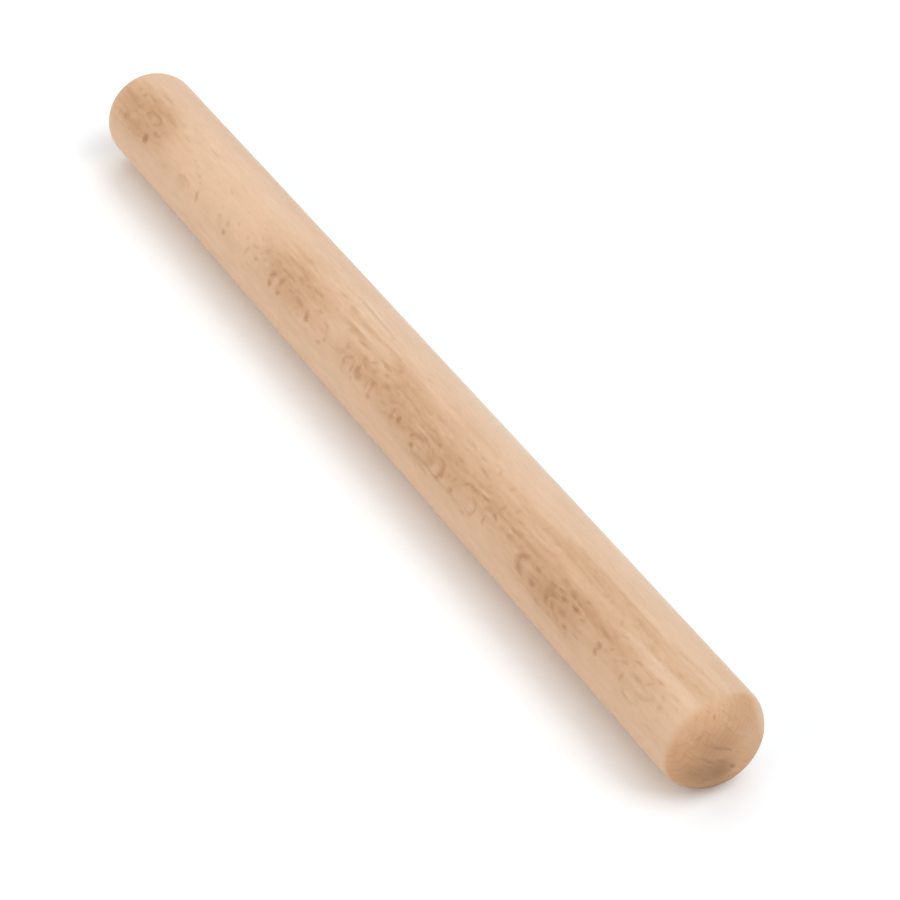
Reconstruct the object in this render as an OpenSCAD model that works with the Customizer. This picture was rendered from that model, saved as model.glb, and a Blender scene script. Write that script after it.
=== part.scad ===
// French rolling pin of the straight kind: one turned rod of steamed beech.
// Millimetres. The rod lies along X, and the origin is on its axis at mid-length.

/* [Barrel] */
// Overall length, measured over both domed ends
pin_length = 500; // [300:5:600]
// Diameter of the straight barrel, which is what rolls on the dough
pin_diameter = 45; // [36:1:60]

/* [Rounded ends] */
// Radius of the arc that rolls the barrel over into each end
shoulder_radius = 14.5; // [6:0.5:16]
// How far the shallow dome across each end stands out past the shoulder arcs
dome_rise = 0.2; // [0.1:0.1:1.5]

/* [Hidden] */
$fn = 128;
beech_colour = "#DDB995";

barrel_radius = pin_diameter / 2;
// The straight barrel ends here, measured from mid-length, and the shoulder arc's centre is level with it
barrel_end = pin_length / 2 - dome_rise - shoulder_radius;
// The shoulder arc's centre stands this far from the rod's axis
shoulder_offset = barrel_radius - shoulder_radius;
// The dome meets the shoulder arc without a crease when their centres are this far apart
centre_gap = (shoulder_offset * shoulder_offset + dome_rise * dome_rise) / (2 * dome_rise);
dome_radius = shoulder_radius + centre_gap;
// The dome's centre is on the rod's axis, this far from mid-length
dome_centre = pin_length / 2 - dome_radius;

// Half section of a shoulder: the quarter of its disc that lies outside the straight barrel
module shoulder_section() {
    translate([shoulder_offset, barrel_end]) intersection() {
        circle(r = shoulder_radius);
        square(2 * shoulder_radius);
    }
}

// Half section of a dome: the slice of its disc between the rod's axis and the shoulder's centre
module dome_section() {
    slice_top = 2 * (barrel_end - dome_centre);
    translate([0, dome_centre]) intersection() {
        circle(r = dome_radius);
        polygon([[0, 0], [2 * shoulder_offset, slice_top], [0, slice_top]]);
    }
}

// Half section of the whole rod, with its axis up the page
module rod_section() {
    translate([0, -barrel_end]) square([barrel_radius, 2 * barrel_end]);
    for (end = [0, 1]) mirror([0, end]) {
        shoulder_section();
        dome_section();
    }
}

module rolling_pin() {
    color(beech_colour) rotate([0, 90, 0]) rotate_extrude() rod_section();
}

rolling_pin();
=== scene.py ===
"""French rolling pin: one turned rod of steamed beech on a pale studio floor."""

import math

import bpy
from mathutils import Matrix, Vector


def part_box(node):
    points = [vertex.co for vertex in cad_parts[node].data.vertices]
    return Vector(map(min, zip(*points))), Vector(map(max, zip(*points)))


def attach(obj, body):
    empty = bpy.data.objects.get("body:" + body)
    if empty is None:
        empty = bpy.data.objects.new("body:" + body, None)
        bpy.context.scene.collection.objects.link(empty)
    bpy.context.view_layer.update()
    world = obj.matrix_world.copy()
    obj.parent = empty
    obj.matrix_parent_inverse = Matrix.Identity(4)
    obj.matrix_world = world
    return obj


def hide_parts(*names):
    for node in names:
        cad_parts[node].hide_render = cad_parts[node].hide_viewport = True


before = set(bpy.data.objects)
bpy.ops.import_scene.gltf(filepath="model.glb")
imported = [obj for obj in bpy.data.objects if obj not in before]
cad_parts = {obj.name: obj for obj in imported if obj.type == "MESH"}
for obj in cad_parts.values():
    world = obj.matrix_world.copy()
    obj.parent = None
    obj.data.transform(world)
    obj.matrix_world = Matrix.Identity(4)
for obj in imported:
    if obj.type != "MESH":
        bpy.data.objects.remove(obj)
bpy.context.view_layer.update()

MM = 0.001

# Sizes of the rod, in metres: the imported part's box, and the arcs of its ends
ROD_LOW, ROD_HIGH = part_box("rolling_pin")
ROD_LENGTH = ROD_HIGH.x - ROD_LOW.x
ROD_DIAMETER = -2 * ROD_LOW.z
ROD_RADIUS_MM = ROD_DIAMETER / 2 / MM
SHOULDER_RADIUS = 0.0145
DOME_RISE = 0.0002
# Hand sanding leaves long shallow flats along the grain: how far they lie off the true round at most, their
# size along the grain and across it both ways, and the seed of their places
UNEVENNESS = 0.00006
SANDED_FLAT_SIZE = (90 * MM, 22 * MM, 22 * MM)
SANDING_SEED = 3.0

# Points of the rod's mesh. The first and last round the rod fall together, and so do all those at a tip.
POINTS_ALONG = 301
POINTS_ROUND = 193
MERGE_DISTANCE = 0.01 * MM
# From mid-length to a tip, the barrel ends at the first share of the points, and the shoulder at the second
BARREL_SHARE = 0.72
SHOULDER_SHARE = 0.95

# Camera: a long lens that looks down along the rod from its near end, +X
CAMERA_LENS_MM = 113.77
SENSOR_WIDTH_MM = 36
CAMERA_AZIMUTH = math.radians(59.36)
CAMERA_ELEVATION = math.radians(41.23)
CAMERA_DISTANCE = 1.2215
CAMERA_AIM = Vector((0.02664, 0.01085, -0.02056))

# Studio: a white floor under the rod, an even white room, and soft round lamps. The floor ends
# before the lamps' light on it fades, and the white room goes on from there.
FLOOR_HALF_WIDTH = 1.5
FLOOR_WHITE = 0.99
# The floor throws back a little less light than a pure white would
FLOOR_BOUNCE = 0.9
ROOM_LIGHT = 0.053
LAMP_DISTANCE = 4.0
LAMP_WIDTH = 3.26
# The light from the front is a little warmer than white, and that from above and behind a little cooler
WARM = "#FFFBF6"
WHITE = "#FFFFFF"
COOL = "#F1F9FF"
# Each lamp: azimuth and elevation in degrees, watts and colour. Azimuth 0 is the -Y side, where the shadow
# falls, and 90 is the near end.
LAMPS = {
    "top lamp": (0, 90, 18.7, COOL),
    "front lamp": (0, 24, 62, WARM),
    "far front lamp": (-45, 30, 40, WARM),
    "near end lamp": (90, 52, 41.5, WHITE),
    "near back lamp": (135, 50, 88.5, COOL),
    "far back lamp": (-135, 40, 48.4, COOL),
    "far end lamp": (-90, 50, 23, WHITE),
}

# Colours of the wood, in sRGB
PLAIN_BEECH = "#D7B494"
PATCH_BEECH = "#BA8F69"
# Pale beech, and also the colour of the painted sheen
PALE_BEECH_AND_SHEEN = "#E0C5AB"
PINK_BEECH = "#DDB092"
CURL_BEECH = "#956534"
RAY_BEECH = "#B68761"
END_BEECH = "#D3A37A"
END_SHADE = "#9C724D"

# Bare sanded wood has a dull sheen, and a duller one on its end grain
WOOD_IOR = 1.5
BARREL_ROUGHNESS = 0.52
END_ROUGHNESS = 0.7
# Rays and fibres stand a little proud of the rest
BUMP_STRENGTH = 0.2
BUMP_DEPTH = 0.05 * MM

# The growth rings lie flat under the surface at this turn from the top, towards the camera's side,
# and their pith is this far from the rod's axis on the other side. Outward is from the pith to the axis,
# and sideways is square to it.
FLAT_TURN = math.radians(52)
OUTWARD = [0, -math.sin(FLAT_TURN), math.cos(FLAT_TURN)]
SIDEWAYS = [0, math.cos(FLAT_TURN), math.sin(FLAT_TURN)]
PITH_DISTANCE_MM = 70
RING_WIDTH_MM = 2.1
# Small waves in the rings: size along the grain and across it both ways, levels of finer detail, and reach
RING_WAVE_MM = (11, 6, 6)
RING_WAVE_DETAIL = 1.5
RING_WAVE_REACH_MM = 3.2
# In shares of a ring's width, where it starts to darken and is dark, and where its dark line is gone and full
LATE_WOOD = (0.5, 0.9)
LATE_WOOD_END = (1.0, 0.92)
# The rings show faintly on the side with the figure, and more on the hidden side. Measured outward from the
# axis, the one side reaches back to the first distance, and the other starts at the second.
FIGURED_SIDE_MM = -8.0
HIDDEN_SIDE_MM = -18.0
FIGURED_RINGS = 0.1
HIDDEN_RINGS = 0.38

# Rays: real ones are 0.1 to 0.3 mm wide and 1 to 3 mm high. They are drawn 0.4 mm wide, so that they show.
# There is one in each cell, whose size is given along the grain, round the pith and out from it. In shares
# of the cell, a ray is gone at the first distance from its middle, and full at the second.
RAY_CELL_MM = (4.0, 1.0, 14)
RAY_SHARES = (0.36, 0.12)

# Soft random washes: size in mm along the grain and across it both ways, levels of finer detail, and the
# noise's values at which the wash starts and is full
TONE_WASH = ((110, 18, 18), 2.0, 0.4, 0.75)
MOTTLE_WASH = ((11, 4, 4), 3.0, 0.35, 0.7)
BLUSH_WASH = ((24, 9, 9), 3.0, 0.4, 0.65)
FIBRE_WASH = ((14, 0.6, 0.6), 3.0, 0.45, 0.8)
CURL_WASH = ((5, 2.2, 2.2), 3.0, 0.5, 0.72)
PORE_WASH = ((1.2, 0.35, 0.35), 2.0, 0.5, 0.75)
# Most of a noise's values lie between the first and the last of these
NOISE_LOW = 0.25
NOISE_MIDDLE = 0.5
NOISE_HIGH = 0.75

# Wavers that make outlines irregular: size of the waves, and how far they reach, in mm each way
GROWTH_WAVER = ((60, 24, 24), (0, 0.8, 0.8))
PATCH_WAVER = ((30, 9, 9), (7, 1.6, 0))
MARK_WAVER = ((3.2, 2.4, 9), (1.4, 1.1, 0))
STREAK_WAVER = ((9, 4, 9), (1.6, 0.5, 0))
PALE_WAVER = ((12, 5, 9), (1.6, 0.6, 0))
END_WAVER = ((5, 5, 9), (0.8, 0.8, 0))

# The patches are streaky: size of the streaks, their detail, how much they add or take away, and the depth
# of the patch from which they do so fully
PATCH_STREAK_MM = (26, 2.6, 2.6)
PATCH_STREAK_DETAIL = 3.0
PATCH_STREAK_DEPTH = 0.22
STREAKY_FROM = 0.3

# A hook's line, in shares of its ring's size: what its half thickness gains on the thick side, what it is
# elsewhere, and how far out towards the thick side the line is full
HOOK_THICKENING = 0.45
HOOK_HAIRLINE = 0.02
HOOK_FULL = 0.9

# The end grain starts where the surface faces this much along the rod, from 0 to 1, on the far end and on the
# near end, and is full where it faces that way by this much more
FAR_BORDER = 0.6
NEAR_BORDER = 0.12
BORDER_WIDTH = 0.28
# How much of the near end's marks, with their painted shade and painted sheen, the far end shows
FAR_END_MARKS = 0.35

# Settings of a Map Range that starts and ends softly. It never leaves its range, so it needs no clamp.
SOFT = {"interpolation_type": "SMOOTHSTEP", "clamp": False}
# Kinds of a Geometry Nodes input, by the type of its value
INPUT_KINDS = {float: "NodeSocketFloat", int: "NodeSocketInt", bpy.types.Material: "NodeSocketMaterial"}


def add(tree, kind, inputs=(), **settings):
    """Adds a node with its settings and links, and returns it.

    inputs is a list in the order of the node's working sockets, or a dict by their names. Each holds a value,
    a socket, or a node, which stands for its first working output.
    """
    node = tree.nodes.new(kind)
    for name, value in settings.items():
        setattr(node, name, value)
    working = [socket for socket in node.inputs if socket.enabled]
    if isinstance(inputs, dict):
        pairs = [(next(s for s in working if s.name == name), value) for name, value in inputs.items()]
    else:
        pairs = zip(working, inputs)
    for socket, value in pairs:
        if isinstance(value, bpy.types.Node):
            value = next(output for output in value.outputs if output.enabled)
        if isinstance(value, bpy.types.NodeSocket):
            tree.links.new(value, socket)
        else:
            socket.default_value = value
    return node


def sum_of(tree, *terms):
    """The sum of the terms, each a value or a list of values to multiply."""
    total = None
    for term in terms:
        factors = term if isinstance(term, list) else [term]
        product = factors[0]
        for factor in factors[1:]:
            product = add(tree, "ShaderNodeMath", [product, factor], operation="MULTIPLY")
        if total is None:
            total = product
        else:
            total = add(tree, "ShaderNodeMath", [total, product], operation="ADD")
    return total


def linear(colour):
    """The linear RGBA of an sRGB hex colour."""
    parts = [int(colour[i:i + 2], 16) / 255 for i in (1, 3, 5)]
    return [p / 12.92 if p <= 0.04045 else ((p + 0.055) / 1.055) ** 2.4 for p in parts] + [1.0]


def direction(azimuth, elevation):
    """The unit vector towards a place round the rod: azimuth from -Y to +X, elevation above the floor."""
    flat = math.cos(elevation)
    return Vector((math.sin(azimuth) * flat, -math.cos(azimuth) * flat, math.sin(elevation)))


def place_camera():
    """The photograph's viewing angle."""
    back = direction(CAMERA_AZIMUTH, CAMERA_ELEVATION)
    data = bpy.data.cameras.new("camera")
    data.lens = CAMERA_LENS_MM
    data.sensor_width = SENSOR_WIDTH_MM
    camera = bpy.data.objects.new("camera", data)
    camera.location = CAMERA_AIM + back * CAMERA_DISTANCE
    camera.rotation_mode = "QUATERNION"
    camera.rotation_quaternion = (-back).to_track_quat("-Z", "Y")
    bpy.context.scene.collection.objects.link(camera)
    bpy.context.scene.camera = camera


def seen_directly(tree):
    """1 for rays from the camera or off something glossy or clear, which show the background as white."""
    rays = add(tree, "ShaderNodeLightPath").outputs
    seen = add(tree, "ShaderNodeMath", [rays["Is Camera Ray"], rays["Is Glossy Ray"]], operation="MAXIMUM")
    return add(tree, "ShaderNodeMath", [seen, rays["Is Transmission Ray"]], operation="MAXIMUM")


def white_floor():
    """A matt white sheet. To the eye: plain white without any sheen, under the rod's soft shadow."""
    material = bpy.data.materials.new("matt white sheet")
    material.use_nodes = True
    tree = material.node_tree
    tree.nodes.clear()
    grey = add(tree, "ShaderNodeMapRange", [seen_directly(tree), 0.0, 1.0, FLOOR_BOUNCE, FLOOR_WHITE])
    sheet = add(tree, "ShaderNodeBsdfDiffuse", {"Color": grey})
    add(tree, "ShaderNodeOutputMaterial", [sheet])

    mesh = bpy.data.meshes.new("floor")
    side = FLOOR_HALF_WIDTH
    corners = [(x * side, y * side, ROD_LOW.z) for x, y in ((-1, -1), (1, -1), (1, 1), (-1, 1))]
    mesh.from_pydata(corners, [], [(0, 1, 2, 3)])
    mesh.materials.append(material)
    floor = bpy.data.objects.new("floor", mesh)
    bpy.context.scene.collection.objects.link(floor)


def studio_light():
    """A white room that lights evenly, and soft lamps all round, the strongest behind the rod's near end."""
    world = bpy.data.worlds.new("white room")
    world.use_nodes = True
    tree = world.node_tree
    tree.nodes.clear()
    strength = add(tree, "ShaderNodeMapRange", [seen_directly(tree), 0.0, 1.0, ROOM_LIGHT, 1.0])
    room = add(tree, "ShaderNodeBackground", {"Color": linear(WHITE), "Strength": strength})
    add(tree, "ShaderNodeOutputWorld", [room])
    bpy.context.scene.world = world

    for name, (azimuth, elevation, watts, colour) in LAMPS.items():
        towards = direction(math.radians(azimuth), math.radians(elevation))
        data = bpy.data.lights.new(name, "AREA")
        data.shape = "DISK"
        data.size = LAMP_WIDTH
        data.energy = watts
        data.color = linear(colour)[:3]
        lamp = bpy.data.objects.new(name, data)
        lamp.location = towards * LAMP_DISTANCE
        lamp.rotation_mode = "QUATERNION"
        lamp.rotation_quaternion = (-towards).to_track_quat("-Z", "Y")
        lamp.visible_camera = False
        bpy.context.scene.collection.objects.link(lamp)


def end_arcs(tree, given):
    """The part's own construction of an end: a shoulder arc, and a dome that meets it without a crease.

    Returns where the barrel ends, how far the shoulder's centre is from the axis, the dome's radius,
    and the angle off the axis at which the dome meets the shoulder.
    """
    shoulder_radius = given["Shoulder Radius"]
    dome_rise = given["Dome Rise"]
    barrel_end = sum_of(tree, [given["Length"], 0.5], [dome_rise, -1.0], [shoulder_radius, -1.0])
    shoulder_offset = sum_of(tree, [given["Diameter"], 0.5], [shoulder_radius, -1.0])
    squares = sum_of(tree, [shoulder_offset, shoulder_offset], [dome_rise, dome_rise])
    double_rise = sum_of(tree, [dome_rise, 2.0])
    centre_gap = add(tree, "ShaderNodeMath", [squares, double_rise], operation="DIVIDE")
    dome_radius = sum_of(tree, shoulder_radius, centre_gap)
    dome_centre = sum_of(tree, [given["Length"], 0.5], [dome_radius, -1.0])
    dome_depth = sum_of(tree, barrel_end, [dome_centre, -1.0])
    dome_edge = add(tree, "ShaderNodeMath", [shoulder_offset, dome_depth], operation="ARCTAN2")
    return barrel_end, shoulder_offset, dome_radius, dome_edge


def outline(tree, given, share):
    """How far the outline is out from mid-length and out from the axis, at a share of the way to a tip."""
    barrel_end, shoulder_offset, dome_radius, dome_edge = end_arcs(tree, given)
    along = add(tree, "ShaderNodeMapRange", [share, 0.0, BARREL_SHARE, 0.0, barrel_end])
    sweep = sum_of(tree, math.pi / 2, [dome_edge, -1.0])
    shoulder_angle = add(tree, "ShaderNodeMapRange", [share, BARREL_SHARE, SHOULDER_SHARE, 0.0, sweep])
    dome_angle = add(tree, "ShaderNodeMapRange", [share, SHOULDER_SHARE, 1.0, dome_edge, 0.0])
    # The sine and the cosine of each angle
    ratios = {
        (name, operation): add(tree, "ShaderNodeMath", [angle], operation=operation)
        for name, angle in (("shoulder", shoulder_angle), ("dome", dome_angle), ("edge", dome_edge))
        for operation in ("SINE", "COSINE")
    }
    from_middle = sum_of(
        tree,
        along,
        [ratios["shoulder", "SINE"], given["Shoulder Radius"]],
        [ratios["dome", "COSINE"], dome_radius],
        [ratios["edge", "COSINE"], dome_radius, -1.0],
    )
    from_axis = sum_of(
        tree,
        shoulder_offset,
        [ratios["shoulder", "COSINE"], given["Shoulder Radius"]],
        [ratios["dome", "SINE"], dome_radius],
        [ratios["edge", "SINE"], dome_radius, -1.0],
    )
    return from_middle, from_axis


def rolled_up(tree, given):
    """A flat grid, rolled up into a closed rod. It runs from -1 to 1, along the rod and once round it."""
    grid = add(tree, "GeometryNodeMeshGrid", [2.0, 2.0, given["Points Along"], given["Points Round"]])
    flat = add(tree, "ShaderNodeSeparateXYZ", [add(tree, "GeometryNodeInputPosition")]).outputs
    share = add(tree, "ShaderNodeMath", [flat["X"]], operation="ABSOLUTE")
    end = add(tree, "ShaderNodeMath", [flat["X"]], operation="SIGN")
    angle = sum_of(tree, [flat["Y"], -math.pi])
    from_middle, from_axis = outline(tree, given, share)
    place = add(tree, "ShaderNodeCombineXYZ", [
        sum_of(tree, [from_middle, end]),
        sum_of(tree, [from_axis, add(tree, "ShaderNodeMath", [angle], operation="COSINE")]),
        sum_of(tree, [from_axis, add(tree, "ShaderNodeMath", [angle], operation="SINE")]),
    ])
    rod = add(tree, "GeometryNodeSetPosition", {"Geometry": grid, "Position": place})
    return add(tree, "GeometryNodeMergeByDistance", {"Geometry": rod, "Distance": MERGE_DISTANCE})


def sanded(tree, given, rod):
    """The rod with the long shallow flats that hand sanding leaves along the grain."""
    place = add(tree, "GeometryNodeInputPosition")
    shrink = [1 / length for length in SANDED_FLAT_SIZE]
    place = add(tree, "ShaderNodeVectorMath", [place, shrink], operation="MULTIPLY")
    flats = add(
        tree, "ShaderNodeTexNoise", {"Vector": place, "W": given["Seed"], "Scale": 1.0, "Detail": 1.0},
        noise_dimensions="4D",
    )
    height = add(tree, "ShaderNodeMapRange", [flats, NOISE_LOW, NOISE_HIGH, -1.0, 1.0])
    height = sum_of(tree, [height, given["Unevenness"]])
    normal = add(tree, "GeometryNodeInputNormal")
    relief = add(tree, "ShaderNodeVectorMath", {"Vector": normal, "Scale": height}, operation="SCALE")
    return add(tree, "GeometryNodeSetPosition", {"Geometry": rod, "Offset": relief})


def rod_tree(inputs):
    """Geometry Nodes for the rod, rolled up, sanded and given its wood, and their inputs' identifiers."""
    tree = bpy.data.node_groups.new("turned rod", "GeometryNodeTree")
    sockets = {
        name: tree.interface.new_socket(name, in_out="INPUT", socket_type=INPUT_KINDS[type(value)]).identifier
        for name, value in inputs.items()
    }
    tree.interface.new_socket("Rod", in_out="OUTPUT", socket_type="NodeSocketGeometry")
    given = add(tree, "NodeGroupInput").outputs
    rod = sanded(tree, given, rolled_up(tree, given))
    rod = add(tree, "GeometryNodeSetShadeSmooth", {"Geometry": rod})
    rod = add(tree, "GeometryNodeRealizeInstances", {"Geometry": rod})
    rod = add(tree, "GeometryNodeSetMaterial", {"Geometry": rod, "Material": given["Wood"]})
    add(tree, "NodeGroupOutput", [rod])
    return tree, sockets


def turned_rod(wood):
    """The rod as one plain mesh."""
    inputs = {
        "Length": ROD_LENGTH,
        "Diameter": ROD_DIAMETER,
        "Shoulder Radius": SHOULDER_RADIUS,
        "Dome Rise": DOME_RISE,
        "Unevenness": UNEVENNESS,
        "Seed": SANDING_SEED,
        "Points Along": POINTS_ALONG,
        "Points Round": POINTS_ROUND,
        "Wood": wood,
    }
    tree, sockets = rod_tree(inputs)
    rod = bpy.data.objects.new("turned_rod", bpy.data.meshes.new("turned rod"))
    bpy.context.scene.collection.objects.link(rod)
    modifier = rod.modifiers.new("turned rod", "NODES")
    modifier.node_group = tree
    for name, value in inputs.items():
        modifier[sockets[name]] = value
    made = bpy.data.meshes.new_from_object(rod.evaluated_get(bpy.context.evaluated_depsgraph_get()))
    rod.modifiers.remove(modifier)
    # The grid starts with an empty slot ahead of the wood's
    made.materials.pop(index=0)
    rod.data = made
    return rod


# Figure of the wood on the camera's side. Each row gives along, turn, half length, half width,
# slant, depth. Along is in mm from mid-length, and turn is in degrees from the top towards the camera.
# The halves are in mm, slant is in degrees, and depth is how strongly the mark shows.

# Broad brown patches where a darker ring comes to the surface
PATCHES = (
    (-222, 30, 60, 25, 0, 0.36), (-218, 37, 38, 12.5, 0, 0.56), (-216, 62, 34, 8, 0, 0.18),
    (-213, 12, 28, 7, 0, 0.25), (-62, 30, 58, 25, 0, 0.34), (-67, 34, 36, 12.0, 0, 0.4),
    (-75, 10, 14, 3.0, 4, 0.15), (-70, 56, 26, 6, 0, 0.2), (-16, 22, 16, 2.6, 0, 0.25),
    (-6, 45, 20, 8.0, 0, 0.25), (-14, 30, 40, 22, 0, 0.22), (-20, 7, 26, 5, 0, 0.15),
    (56, 30, 84, 25, 0, 0.34), (34, 38, 50, 12.5, 0, 0.42), (20, 12, 26, 5.0, 6, 0.3),
    (92, 38, 46, 11.5, 0, 0.4), (50, 60, 60, 8, 0, 0.15), (158, 30, 74, 25, 0, 0.42),
    (150, 42, 40, 9.0, 0, 0.42), (152, 65, 34, 9.0, 0, 0.38), (178, 37, 28, 4.0, 0, 0.25),
    (120, 12, 42, 4.5, 0, 0.1), (160, 8, 50, 5, -1, 0.26), (220, 5, 52, 9, -3, 0.42),
    (205, 46, 34, 9.0, 0, 0.25),
)
# Dark curls and dashes where a wavy ring is cut
CURLS = (
    (-226, 54, 2.8, 2.0, -15, 0.42), (-205, 55, 3.0, 2.8, 60, 0.85), (-200.5, 41.5, 3.8, 1.6, 0, 0.45),
    (-231.5, 20, 1.9, 1.0, 10, 0.25), (-226, 20, 2.0, 1.1, 10, 0.35), (-222, 33.5, 2.8, 1.0, -5, 0.28),
    (-229, 33, 7.0, 1.8, 3, 0.22), (-213, 33, 1.8, 1.8, 0, 0.25), (-215, 49, 4.4, 2.4, 0, 0.22),
    (-209, 43, 2.0, 1.4, 0, 0.12), (-183, 62, 3.4, 1.5, -15, 0.2), (-168, 28, 2.2, 0.9, 0, 0.18),
    (-164, 29, 2.2, 0.9, 15, 0.2), (-158, 37, 2.4, 1.2, 0, 0.26), (-154.5, 41, 1.6, 0.9, 0, 0.2),
    (-166, 56, 5.6, 3.6, 0, 0.2), (-152, 52, 1.7, 2.0, 20, 0.36), (-151.5, 58, 1.6, 2.0, -20, 0.36),
    (-136, 21, 2.8, 1.0, 15, 0.16), (-131, 50, 2.2, 1.8, 0, 0.2), (-133, 40, 1.8, 0.8, 0, 0.16),
    (-123, 49, 2.2, 2.0, 0, 0.3), (-123, 60, 2.2, 1.9, 0, 0.42), (-117, 40, 2.2, 1.0, 0, 0.16),
    (-107, 42.5, 1.8, 1.1, 0, 0.2), (-103, 53, 1.6, 2.8, 0, 0.28), (-99, 42, 3.0, 1.0, -8, 0.2),
    (-95, 52, 2.3, 1.5, -15, 0.34), (-98, 65, 3.4, 0.9, -3, 0.2), (-92, 34, 4.4, 1.9, 0, 0.18),
    (-79.8, 49, 2.3, 2.9, 40, 0.58), (-79, 59.5, 2.2, 2.1, 0, 0.6), (-72.5, 46.5, 2.3, 2.7, 35, 0.58),
    (-71.5, 60, 2.3, 1.9, -10, 0.55), (-84, 42, 3.0, 1.0, 0, 0.22), (-64, 46, 3.4, 1.0, -6, 0.3),
    (-57, 46, 3.2, 1.2, -8, 0.3), (-54, 47.5, 2.2, 1.2, 0, 0.34), (-47.3, 52.5, 2.3, 2.8, -20, 0.62),
    (-46.5, 56, 1.8, 1.5, 10, 0.2), (-53, 60, 2.8, 1.8, 0, 0.16), (-42, 36.5, 2.5, 1.2, 0, 0.3),
    (-5.5, -4.5, 1.6, 0.9, 0, 0.25), (-34, 43, 2.8, 1.2, 12, 0.3), (-30, 55, 1.7, 1.6, 0, 0.36),
    (-33, 63, 2.3, 1.2, -25, 0.34), (-4, 34, 4.4, 1.1, 3, 0.32), (1.5, 30, 2.4, 0.9, -35, 0.3),
    (-10, 44.5, 3.0, 1.2, -6, 0.26), (-3.4, 48, 1.6, 3.0, 10, 0.5), (-1, 54, 3.4, 2.4, 0, 0.5),
    (-4.3, 62, 1.0, 1.6, 0, 0.26), (-13, 53, 1.0, 2.8, 0, 0.3), (-7, 53, 1.1, 2.8, 0, 0.3),
    (6, 53, 1.4, 3.0, 0, 0.26), (9.3, 50, 1.6, 3.2, -10, 0.32), (10, 61, 2.3, 1.9, 20, 0.4),
    (10, 45, 2.8, 1.2, -10, 0.3), (5, 36, 2.2, 1.8, 0, 0.26), (14.5, 16, 2.3, 1.2, 0, 0.3),
    (12, 12, 4.6, 1.8, 0, 0.18), (12, 30, 2.2, 1.1, 0, 0.34), (17, 38, 2.8, 1.4, -5, 0.4),
    (20, 30, 2.8, 1.0, 0, 0.25), (25, 43, 3.2, 1.0, -25, 0.22), (20, 52.5, 3.3, 1.3, 0, 0.3),
    (27.8, 50, 1.7, 1.7, 0, 0.42), (28, 57, 1.9, 1.8, 0, 0.38), (33, 53, 2.1, 2.2, 0, 0.7),
    (43, 22, 2.2, 1.3, 0, 0.2), (46, 37, 2.3, 1.2, 0, 0.26), (60, 37, 2.0, 1.4, 0, 0.4),
    (47, 48, 3.3, 1.4, -25, 0.34), (44, 53, 1.9, 1.6, 0, 0.5), (46.5, 60.5, 2.3, 1.5, -15, 0.72),
    (58, 70, 3.2, 1.1, 0, 0.14), (73, 37, 2.0, 1.1, 0, 0.3), (78, 49, 2.0, 1.4, 0, 0.3),
    (78.5, 62, 2.0, 1.6, 0, 0.46), (91, 9, 2.0, 0.8, 35, 0.3), (102, 11, 2.2, 1.6, 0, 0.25),
    (102.5, 56, 1.2, 2.6, 0, 0.4), (107, 33, 1.4, 2.6, 10, 0.26), (106.5, 43.5, 2.3, 1.0, 0, 0.52),
    (102, 42, 3.2, 1.5, 0, 0.25), (90, 69.5, 2.3, 0.8, 0, 0.25), (113, 23, 1.7, 1.2, 0, 0.2),
    (113, 46, 2.2, 1.2, 0, 0.25), (120, 46, 3.8, 1.4, 0, 0.26), (131.5, 50, 3.0, 2.2, -20, 0.36),
    (132.5, 61, 3.4, 1.6, 25, 0.36), (141, 47.5, 2.3, 1.5, 0, 0.58), (141.5, 63, 2.9, 1.7, -8, 0.55),
    (151, 46, 3.2, 1.2, 0, 0.38), (154, 52, 3.8, 1.8, -10, 0.62), (152, 60, 2.0, 2.4, 0, 0.58),
    (156, 62, 2.2, 2.0, 0, 0.5), (160, 67, 3.2, 1.4, 20, 0.3), (160, 47, 2.5, 1.5, 0, 0.66),
    (157, 43, 3.2, 1.2, -5, 0.32), (155, 35, 3.8, 1.5, 0, 0.28), (162, 37, 3.0, 1.5, 0, 0.36),
    (167.5, 45, 3.4, 1.1, 0, 0.9), (173, 48, 2.8, 1.0, -25, 0.34), (174, 66, 2.8, 0.8, 10, 0.28),
    (167, 68, 2.5, 1.5, 0, 0.5), (163, 57, 3.0, 2.0, 0, 0.2), (176, 14, 1.2, 2.2, 0, 0.16),
    (186.5, 52, 1.9, 1.9, 0, 0.62), (186.5, 60.5, 1.5, 2.1, 0, 0.62), (193, 27.5, 3.2, 1.0, -4, 0.26),
    (187, 20, 1.8, 1.1, 30, 0.2), (193, 45, 2.2, 0.9, -25, 0.28), (191, 51, 2.2, 0.9, -10, 0.24),
    (201, 44, 2.8, 1.0, -30, 0.28), (206, 35, 3.2, 0.9, -12, 0.34), (210, 46, 3.8, 1.0, 0, 0.34),
    (216, 41, 2.2, 0.8, -40, 0.25), (219, 31, 2.7, 0.9, 0, 0.38), (203.5, 57, 1.1, 2.6, 0, 0.3),
    (226.5, 50, 1.6, 1.5, 0, 0.24), (225, 39, 1.8, 0.7, 0, 0.24), (232.5, 38, 1.4, 0.9, 0, 0.2),
    (226, 74, 4.4, 0.8, -6, 0.24), (191, 7, 3.2, 0.9, 10, 0.24), (205, 14, 3.4, 2.4, 0, 0.16),
    (222, 13, 2.3, 0.9, 0, 0.18), (199, -1, 5.4, 1.5, 0, 0.14),
)
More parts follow.
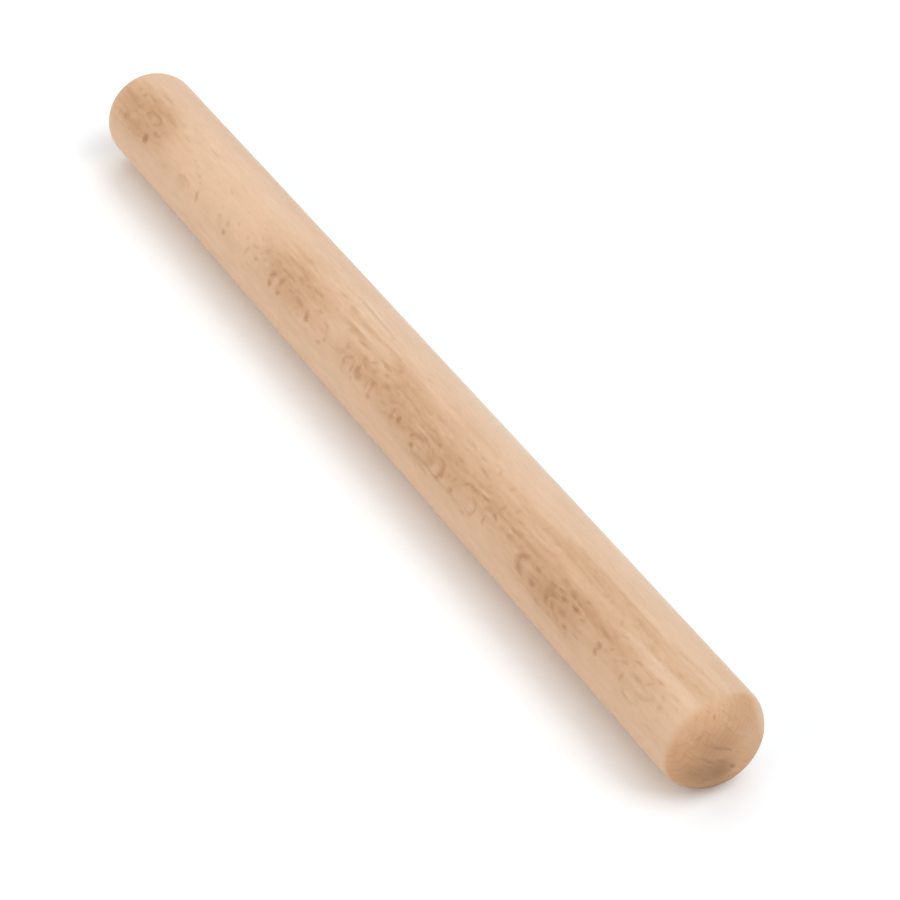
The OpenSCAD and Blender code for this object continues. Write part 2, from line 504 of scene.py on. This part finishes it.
# Dark streaks along the grain
STREAKS = (
    (-199, 18, 11, 1.4, 1, 0.34), (-229, 33, 8, 1.2, 2, 0.15), (-184, 17.5, 7, 0.9, 0, 0.2),
    (-165, 4, 6.5, 0.9, 2, 0.26), (-215, 1, 5, 1.1, 0, 0.1), (-78, 21, 7, 1.0, 0, 0.26),
    (-82, 34, 3.6, 1.2, 0, 0.34), (-74, 35, 7, 0.9, 0, 0.3), (-69, 35.5, 3.4, 1.0, 0, 0.3),
    (-65, 29, 2.6, 1.1, 0, 0.28), (-64, 22, 4, 1.1, 0, 0.22), (-58, 28, 3, 0.9, 0, 0.26),
    (-70, 7, 4.6, 0.9, 0, 0.24), (-53, 25, 3, 0.8, 4, 0.3), (-49.5, 24, 2.6, 1.0, 12, 0.34),
    (-20, -7, 24, 1.0, 1, 0.26), (-42, 5, 5, 0.9, 0, 0.26), (-31, 7, 5, 1.3, 8, 0.28),
    (-15, 9.5, 12, 1.2, -1, 0.24), (4, 7, 14, 0.9, 0, 0.2), (-20, 21, 11, 1.4, 0, 0.24),
    (-10.5, 26, 5, 1.0, -4, 0.42), (-22, 27, 3, 0.9, 0, 0.2), (7, 22.5, 7, 1.1, 2, 0.42),
    (28, 28.5, 6, 0.9, 2, 0.28), (37, 30.5, 7, 0.9, 9, 0.28), (50, 32, 10, 0.9, -2, 0.3),
    (55, 37.5, 6, 1.0, 0, 0.34), (51, 43.5, 5, 0.8, 3, 0.4), (27, -3, 4, 0.9, 0, 0.2),
    (45, 27, 6, 0.7, 0, 0.14), (86, 20.5, 5, 0.8, 0, 0.36), (70, 11, 4, 1.1, 4, 0.16),
    (80, 13, 3, 0.8, 0, 0.2), (75, 31, 4, 0.7, -10, 0.24), (95, 31, 5, 0.9, -3, 0.25),
    (84.5, 43.5, 2.6, 1.0, -25, 0.42), (89, 41, 4.8, 1.4, 0, 0.55), (97, 38.5, 5.6, 1.1, -6, 0.55),
    (72, 66, 5, 0.8, -2, 0.1), (119.5, 38.5, 5, 1.1, -3, 0.5), (112, 38, 6, 0.7, -2, 0.26),
    (130, 37, 10, 1.0, 2, 0.24), (174, 38.5, 22, 1.7, 1, 0.28), (186, 39, 6, 1.0, 2, 0.36),
    (170, 31.5, 3.4, 0.8, 0, 0.24), (163, 10, 11, 1.1, 0, 0.2), (164, 6, 13, 1.2, 0, 0.2),
    (210, 68.5, 5.0, 0.9, 0, 0.15), (212, 35, 7, 0.7, 0, 0.14), (230, 31, 4, 1.0, 0, 0.16),
    (180, 0, 34, 0.9, 0, 0.16), (222, -6, 24, 1.0, -5, 0.18), (215, 17, 24, 0.8, -1, 0.14),
)
# Pale streaks and spots. The three long rows at turns of -46 and -48, along the upper edge, are painted
# sheen.
PALES_AND_SHEEN = (
    (60, -48, 90, 15, 0, 0.8), (165, -46, 70, 14, 0, 0.5), (-20, -48, 40, 13, 0, 0.4),
    (-208.5, 33, 3.4, 1.6, 0, 0.2), (-203, 23.5, 7, 1.1, 7, 0.22), (-187, 9, 6, 2.4, 0, 0.25),
    (-160, 11, 7, 1.1, -3, 0.45), (-168, -4, 7, 1.4, 8, 0.2), (-165, 38, 5, 3.2, 0, 0.2),
    (-87, 46.5, 2.2, 0.9, 0, 0.4), (-75.5, 53, 2.6, 2.8, 0, 0.3), (-78, 17, 8, 0.7, 0, 0.16),
    (-25, -12, 18, 1.3, 2, 0.5), (-24, 3, 16, 1.0, 1, 0.4), (-38, 12, 8, 1.2, 3, 0.3),
    (-18, 16.5, 12, 1.2, 1, 0.42), (4, 2, 14, 0.9, 0, 0.35), (-28, 37, 14, 6.0, 0, 0.24),
    (-9.5, 54, 2.2, 3.2, 0, 0.3), (6, 26.5, 6, 0.8, 0, 0.35), (6, 19, 4, 0.7, 0, 0.25),
    (8, 58, 1.0, 1.4, 0, 0.2), (47, 40.5, 9, 0.8, -2, 0.3), (56, 27, 4, 0.7, 0, 0.2),
    (54, 48.5, 5.5, 1.0, 2, 0.34), (52, 54, 4.4, 1.2, 0, 0.2), (45, 27, 4, 0.7, 0, 0.2),
    (65, 56, 3.0, 2.4, 0, 0.2), (94, 36, 7, 0.8, -5, 0.3), (92.5, 57, 1.8, 1.6, 0, 0.3),
    (100, 47, 9, 0.7, 0, 0.22), (88, 1, 6, 1.6, 4, 0.25), (118, 42, 3.4, 0.9, 0, 0.25),
    (137, 55, 4.0, 2.6, 0, 0.2), (133, 25, 12, 1.0, -1, 0.22), (137, 17, 10, 2.0, 0, 0.15),
    (154.5, 41.5, 3.4, 0.7, -8, 0.5), (166, 41, 8, 0.7, 2, 0.4), (158, 26, 10, 1.2, 0, 0.3),
    (172, 43, 3, 0.7, 10, 0.25), (213, 21.5, 28, 3.2, -3, 0.42), (196, 24, 10, 1.8, 0, 0.25),
    (230, 35, 6, 0.8, -4, 0.4), (232, 24, 12, 3.4, 0, 0.35), (214, 28, 10, 1.6, -4, 0.3),
)
# Rings and hooks: along, turn, half length, half width, angle of the thick side, where the line ends, depth.
# It ends at this share of the ring's size towards the thick side: 0 leaves half the ring, and -1 all of it.
HOOKS = (
    (52.5, 54.5, 8.4, 4.8, 55, -0.8, 0.26), (52.5, 54, 5.4, 2.8, -60, -1.2, 0.18),
    (65, 56, 4.7, 4.0, 0, -0.7, 0.5), (92.5, 56.5, 3.2, 3.2, 0, -1.6, 0.28),
    (136.5, 55, 7.4, 4.4, 180, -0.4, 0.4), (-208.5, 33, 6.2, 2.8, -100, -0.5, 0.4),
    (-165, 60, 5.8, 3.8, -90, -0.2, 0.12), (-10, 53, 3.6, 4.4, 180, -1.4, 0.12),
    (155, 56, 5.0, 4.6, 200, -0.8, 0.3), (211, 60, 5.4, 3.6, 90, -0.4, 0.13),
    (214, 49, 7.0, 3.0, 40, -0.6, 0.16), (20, 41, 6.0, 3.2, -120, -0.6, 0.2),
    (-22, 42, 6.0, 4.2, 30, -0.5, 0.18), (104, 50, 4.4, 3.0, -90, -0.8, 0.16),
    (36, 42, 7.0, 4.4, 120, -0.5, 0.14),
)
# Dark patches on the near end: partly a dark blotch in the wood, and partly painted shade that darkens the
# end towards its lower left, most on the lowest row, where the underside gets little light. Rows for the end
# give across towards +Y and up in mm from its middle, half length, half width, slant, depth.
END_BLOTCH_AND_SHADE = (
    (-8, -6, 17, 12, -38, 0.6), (-8, 3, 15, 12, -20, 0.3), (-17, -4, 10, 12, 0, 0.25),
    (-7, -18, 20, 9, 0, 0.9), (-3, -4, 9, 9, -38, 0.4), (-7, 11, 13, 8, -20, 0.3),
)
# Dark strokes on the near end
END_STROKES = (
    (-4.5, 19.2, 1.6, 0.7, 40, 0.5), (-12.5, 13.5, 2.2, 0.8, 45, 0.3), (-1.5, 14.5, 3.0, 0.8, 30, 0.22),
    (1, 17, 2.5, 0.7, -20, 0.15), (-6, 8, 4.5, 1.2, -40, 0.55), (-2, 6, 5.0, 1.2, -42, 0.55),
    (-9.5, 3, 6.0, 1.4, -38, 0.6), (-4, 0.5, 5.5, 1.3, -40, 0.6), (-8, -1.5, 6.0, 1.1, -40, 0.4),
    (-6, -5.5, 4.5, 2.0, -38, 0.7), (1.2, -4.8, 2.9, 1.3, -55, 1.0), (-10, -7, 3.5, 1.6, -30, 0.5),
    (3, 2, 6.5, 0.6, -42, 0.2), (-14, -2, 4.0, 1.2, -30, 0.35), (6, 8, 6.0, 0.6, -40, 0.14),
    (-16, 6, 4.0, 0.8, -35, 0.16), (1, -10.5, 3.0, 0.9, -35, 0.3),
)
# Pale specks on the near end. The two large rows at 17.5 and 9 across, along its right rim, are painted
# sheen.
END_SPECKS_AND_SHEEN = (
    (-10, 17, 2.2, 1.4, 0, 0.14), (-8, 15.5, 1.8, 1.2, 0, 0.12), (-7, 12, 2.4, 1.5, -40, 0.1),
    (-13.5, 8, 1.6, 1.4, 0, 0.08), (1.5, 3.5, 1.4, 1.1, 0, 0.15), (-1, 18, 3.0, 1.4, 20, 0.12),
    (4, 11, 5.0, 1.6, -40, 0.12), (3, -8, 3.4, 1.6, -40, 0.16), (-15, 12, 1.6, 1.2, 0, 0.15),
    (17.5, 6, 13, 5, 105, 0.6), (9, 6, 17, 8, 105, 0.2), (-2, 22, 18, 4.0, 0, 0.15),
    (-15, 16, 8, 4, 45, 0.15),
)


def turned_rows(rows):
    """The rows of a table with their turns made ways round the barrel from the top, in mm."""
    return [(along, math.radians(turn) * ROD_RADIUS_MM, *others) for along, turn, *others in rows]


def flat_map(tree, parts):
    """The barrel's surface peeled off flat, in mm: along the rod, and round it from the top.

    Its third part is 1, so that one product with three numbers also takes off a mark's centre.
    """
    turn = add(tree, "ShaderNodeMath", [parts["Y"], parts["Z"]], operation="ARCTAN2")
    round_it = add(tree, "ShaderNodeMath", [turn, -ROD_RADIUS_MM], operation="MULTIPLY")
    return add(tree, "ShaderNodeCombineXYZ", [parts["X"], round_it, 1.0])


def waves(tree, place, size, detail=2.0):
    """Soft random waves of a real size: three lengths in mm."""
    measured = add(tree, "ShaderNodeMapping", {"Vector": place, "Scale": size}, vector_type="TEXTURE")
    return add(tree, "ShaderNodeTexNoise", {"Vector": measured, "Scale": 1.0, "Detail": detail})


def wash(tree, place, size, detail, start, full):
    """Soft random waves as a share: 0 up to the start value, and 1 from the full value."""
    return add(tree, "ShaderNodeMapRange", [waves(tree, place, size, detail), start, full, 0.0, 1.0])


def wavered(tree, place, size, reach):
    """A place moved about at random by up to reach, in waves of a real size. Both are three lengths in mm."""
    shift = waves(tree, place, size).outputs["Color"]
    shift = add(tree, "ShaderNodeVectorMath", [shift, [NOISE_MIDDLE] * 3], operation="SUBTRACT")
    widths = [2 * length for length in reach]
    return add(tree, "ShaderNodeVectorMath", [shift, widths, place], operation="MULTIPLY_ADD")


def from_mark(tree, flat, along, across, half_length, half_width, slant=0):
    """A flat map's place as seen from a mark, whose oval is the unit circle."""
    lengthways = (math.cos(math.radians(slant)), math.sin(math.radians(slant)))
    widthways = (-lengthways[1], lengthways[0])
    seen = []
    for (part_along, part_across), half in ((lengthways, half_length), (widthways, half_width)):
        centre = along * part_along + across * part_across
        row = [part_along / half, part_across / half, -centre / half]
        seen.append(add(tree, "ShaderNodeVectorMath", [flat, row], operation="DOT_PRODUCT"))
    return add(tree, "ShaderNodeCombineXYZ", [*seen, 0.0])


def ovals(tree, flat, rows, core, edge=1.0):
    """Soft ovals, each full inside core of its size and gone outside edge of it."""
    total = 0.0
    for along, across, half_length, half_width, slant, depth in rows:
        seen = from_mark(tree, flat, along, across, half_length, half_width, slant)
        out = add(tree, "ShaderNodeVectorMath", [seen], operation="LENGTH")
        oval = add(tree, "ShaderNodeMapRange", [out, edge, core, 0.0, depth], **SOFT)
        total = add(tree, "ShaderNodeMath", [total, oval], operation="ADD")
    return total


def hooks(tree, flat, rows):
    """Soft rings, thickest on one side, and thinner and fainter away from it."""
    total = 0.0
    for along, across, half_length, half_width, side, gone_at, depth in rows:
        seen = from_mark(tree, flat, along, across, half_length, half_width)
        out = add(tree, "ShaderNodeVectorMath", [seen], operation="LENGTH")
        off = add(tree, "ShaderNodeMath", [out, 1.0], operation="SUBTRACT")
        off = add(tree, "ShaderNodeMath", [off], operation="ABSOLUTE")
        thick_side = [math.cos(math.radians(side)), math.sin(math.radians(side)), 0]
        towards_it = add(tree, "ShaderNodeVectorMath", [seen, thick_side], operation="DOT_PRODUCT")
        shown = add(tree, "ShaderNodeMapRange", [towards_it, gone_at, HOOK_FULL, 0.0, 1.0], **SOFT)
        edge = add(tree, "ShaderNodeMath", [shown, HOOK_THICKENING, HOOK_HAIRLINE], operation="MULTIPLY_ADD")
        line = add(tree, "ShaderNodeMapRange", [off, edge, 0.0, 0.0, depth], **SOFT)
        total = add(tree, "ShaderNodeMath", [line, shown, total], operation="MULTIPLY_ADD")
    return total


def as_grown(tree, place):
    """A place as it was in the living wood, in mm: along the grain, round the pith and out from it.

    Also returns the last of the three alone.
    """
    pith = [-PITH_DISTANCE_MM * part for part in OUTWARD]
    from_pith = wavered(tree, place, *GROWTH_WAVER)
    from_pith = add(tree, "ShaderNodeVectorMath", [from_pith, pith], operation="SUBTRACT")
    along = add(tree, "ShaderNodeSeparateXYZ", [from_pith]).outputs["X"]
    sideways = add(tree, "ShaderNodeVectorMath", [from_pith, SIDEWAYS], operation="DOT_PRODUCT")
    outward = add(tree, "ShaderNodeVectorMath", [from_pith, OUTWARD], operation="DOT_PRODUCT")
    angle = add(tree, "ShaderNodeMath", [sideways, outward], operation="ARCTAN2")
    round_pith = add(tree, "ShaderNodeMath", [angle, PITH_DISTANCE_MM], operation="MULTIPLY")
    across = add(tree, "ShaderNodeCombineXYZ", [sideways, outward, 0.0])
    out = add(tree, "ShaderNodeVectorMath", [across], operation="LENGTH")
    return add(tree, "ShaderNodeCombineXYZ", [along, round_pith, out]), out


def ring_lines(tree, place, out_from_pith):
    """The thin dark line that ends each growth ring. Where rings lie flat, their small waves make curls."""
    wave = waves(tree, place, RING_WAVE_MM, RING_WAVE_DETAIL)
    wave = add(tree, "ShaderNodeMath", [wave, NOISE_MIDDLE], operation="SUBTRACT")
    out = add(tree, "ShaderNodeMath", [wave, RING_WAVE_REACH_MM, out_from_pith], operation="MULTIPLY_ADD")
    ring = add(tree, "ShaderNodeMath", [out, RING_WIDTH_MM], operation="DIVIDE")
    ring = add(tree, "ShaderNodeMath", [ring], operation="FRACT")
    late = add(tree, "ShaderNodeMapRange", [ring, *LATE_WOOD, 0.0, 1.0], **SOFT)
    line_end = add(tree, "ShaderNodeMapRange", [ring, *LATE_WOOD_END, 0.0, 1.0], **SOFT)
    return add(tree, "ShaderNodeMath", [late, line_end], operation="MULTIPLY")


def grain_of(tree, place):
    """What the wood shows all over: soft tone, growth rings, rays and fibres, each from 0 to 1."""
    grown, out_from_pith = as_grown(tree, place)
    ray_cells = add(tree, "ShaderNodeMapping", {"Vector": grown, "Scale": RAY_CELL_MM}, vector_type="TEXTURE")
    off_ray = add(tree, "ShaderNodeTexVoronoi", {"Vector": ray_cells, "Scale": 1.0})
    return {
        "tone": wash(tree, place, *TONE_WASH),
        "rings": ring_lines(tree, place, out_from_pith),
        "rays": add(tree, "ShaderNodeMapRange", [off_ray, *RAY_SHARES, 0.0, 1.0], **SOFT),
        "fibres": wash(tree, place, *FIBRE_WASH),
    }


def layered(tree, colour, layers):
    """The colour turned towards each layer's own colour in turn, by the layer's amount times its strength."""
    for amount, strength, layer_colour in layers:
        share = add(tree, "ShaderNodeMath", [amount, strength], operation="MULTIPLY")
        mixed = {"Factor": share, "A": colour, "B": linear(layer_colour)}
        colour = add(tree, "ShaderNodeMix", mixed, data_type="RGBA")
    return colour


def brown_patches(tree, place, flat):
    """Broad brown patches with ragged, streaky edges."""
    patches = ovals(tree, wavered(tree, flat, *PATCH_WAVER), turned_rows(PATCHES), core=0.3)
    streaks = waves(tree, place, PATCH_STREAK_MM, PATCH_STREAK_DETAIL)
    streaks = add(tree, "ShaderNodeMapRange", [
        streaks, NOISE_LOW, NOISE_HIGH, -PATCH_STREAK_DEPTH, PATCH_STREAK_DEPTH,
    ])
    in_patch = add(tree, "ShaderNodeMapRange", [patches, 0.0, STREAKY_FROM, 0.0, 1.0])
    return add(tree, "ShaderNodeClamp", [sum_of(tree, patches, [streaks, in_patch])])


def dark_marks(tree, flat):
    """Dark curls, dashes, hooks and streaks."""
    mark_place = wavered(tree, flat, *MARK_WAVER)
    streak_place = wavered(tree, flat, *STREAK_WAVER)
    curls = ovals(tree, mark_place, turned_rows(CURLS), core=0.0, edge=1.25)
    rings = hooks(tree, mark_place, turned_rows(HOOKS))
    streaks = ovals(tree, streak_place, turned_rows(STREAKS), core=0.0, edge=1.2)
    return add(tree, "ShaderNodeClamp", [sum_of(tree, curls, rings, streaks)])


def barrel_colour(tree, place, flat, grain):
    """The barrel's colour: pale pinkish beech, brown patches, dark and pale marks, and painted sheen."""
    patches = brown_patches(tree, place, flat)
    # Pale marks, with a painted sheen along the upper edge
    pale_marks_and_sheen = ovals(tree, wavered(tree, flat, *PALE_WAVER), turned_rows(PALES_AND_SHEEN), core=0.1)
    small_curls = add(tree, "ShaderNodeMath", [wash(tree, place, *CURL_WASH), patches], operation="MULTIPLY")
    # The side away from the camera has no figure of its own, so its rings show more
    side = add(tree, "ShaderNodeVectorMath", [place, OUTWARD], operation="DOT_PRODUCT")
    ring_strength = add(tree, "ShaderNodeMapRange", [
        side, FIGURED_SIDE_MM, HIDDEN_SIDE_MM, FIGURED_RINGS, HIDDEN_RINGS,
    ])
    return layered(tree, linear(PLAIN_BEECH), [
        (grain["tone"], 0.15, PATCH_BEECH),
        (wash(tree, place, *MOTTLE_WASH), 0.2, PATCH_BEECH),
        (wash(tree, place, *BLUSH_WASH), 0.3, PINK_BEECH),
        (grain["rings"], ring_strength, PATCH_BEECH),
        (patches, 1.0, PATCH_BEECH),
        (pale_marks_and_sheen, 0.7, PALE_BEECH_AND_SHEEN),
        (grain["fibres"], 0.09, PATCH_BEECH),
        (grain["rays"], 0.1, RAY_BEECH),
        (small_curls, 0.3, CURL_BEECH),
        (dark_marks(tree, flat), 1.0, CURL_BEECH),
    ])


def end_colour(tree, place, parts, near, grain):
    """The end grain's colour: darker and full of pores, with the near end's blotch, strokes and specks.

    The blotch carries painted shade low on the end, and the specks a painted sheen on its right rim.
    """
    end_place = add(tree, "ShaderNodeCombineXYZ", [parts["Y"], parts["Z"], 1.0])
    end_place = wavered(tree, end_place, *END_WAVER)
    marks_shown = add(tree, "ShaderNodeMapRange", [near, 0.0, 1.0, FAR_END_MARKS, 1.0])
    blotch_and_shade, strokes, specks_and_sheen = [
        add(tree, "ShaderNodeMath", [ovals(tree, end_place, rows, core), marks_shown], operation="MULTIPLY")
        for rows, core in ((END_BLOTCH_AND_SHADE, 0.0), (END_STROKES, 0.1), (END_SPECKS_AND_SHEEN, 0.1))
    ]
    return layered(tree, linear(END_BEECH), [
        (grain["tone"], 0.2, END_SHADE),
        (grain["rings"], 0.12, END_SHADE),
        # A dark blotch, and painted shade low on the end
        (blotch_and_shade, 1.0, END_SHADE),
        (grain["rays"], 0.2, END_SHADE),
        (strokes, 0.9, END_SHADE),
        # Pale specks, and a painted sheen on the right rim
        (specks_and_sheen, 1.0, PALE_BEECH_AND_SHEEN),
        (wash(tree, place, *PORE_WASH), 0.2, END_SHADE),
    ])


def end_share(tree, normal, near):
    """0 on the barrel and 1 on the end grain, by how far the surface faces along the rod."""
    facing = add(tree, "ShaderNodeSeparateXYZ", [normal]).outputs["X"]
    facing = add(tree, "ShaderNodeMath", [facing], operation="ABSOLUTE")
    border = add(tree, "ShaderNodeMapRange", [near, 0.0, 1.0, FAR_BORDER, NEAR_BORDER])
    full = add(tree, "ShaderNodeMath", [border, BORDER_WIDTH], operation="ADD")
    return add(tree, "ShaderNodeMapRange", [facing, border, full, 0.0, 1.0], **SOFT)


def steamed_beech():
    """Beech, steamed, turned and sanded, left bare.

    To the eye: a pale pinkish tan with a dull sheen, fine flecks where the rays are cut, faint lines of the
    growth rings, brown patches and small dark curls where the rings lie flat, and darker, rougher end grain.
    """
    material = bpy.data.materials.new("steamed beech, turned and sanded")
    material.use_nodes = True
    tree = material.node_tree
    tree.nodes.clear()
    texture = add(tree, "ShaderNodeTexCoord").outputs
    # Places on the rod, in mm
    place = add(
        tree, "ShaderNodeMapping", {"Vector": texture["Object"], "Scale": [MM] * 3}, vector_type="TEXTURE"
    )
    parts = add(tree, "ShaderNodeSeparateXYZ", [place]).outputs
    # 0 on the half towards the far end, and 1 on the half towards the near end
    near = add(tree, "ShaderNodeMapRange", [parts["X"], 0.0, 1.0, 0.0, 1.0])
    end_grain = end_share(tree, texture["Normal"], near)
    grain = grain_of(tree, place)

    barrel = barrel_colour(tree, place, flat_map(tree, parts), grain)
    end = end_colour(tree, place, parts, near, grain)
    colour = add(tree, "ShaderNodeMix", {"Factor": end_grain, "A": barrel, "B": end}, data_type="RGBA")
    roughness = add(tree, "ShaderNodeMapRange", [end_grain, 0.0, 1.0, BARREL_ROUGHNESS, END_ROUGHNESS])
    height = add(tree, "ShaderNodeMath", [grain["rays"], grain["fibres"]], operation="ADD")
    bump = add(tree, "ShaderNodeBump", {"Strength": BUMP_STRENGTH, "Distance": BUMP_DEPTH, "Height": height})
    wood = add(tree, "ShaderNodeBsdfPrincipled", {
        "Base Color": colour, "Roughness": roughness, "IOR": WOOD_IOR, "Normal": bump,
    })
    add(tree, "ShaderNodeOutputMaterial", [wood])
    return material


place_camera()
bpy.context.scene.view_settings.view_transform = "Standard"
white_floor()
studio_light()

rod = turned_rod(steamed_beech())
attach(rod, "root")
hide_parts("rolling_pin")
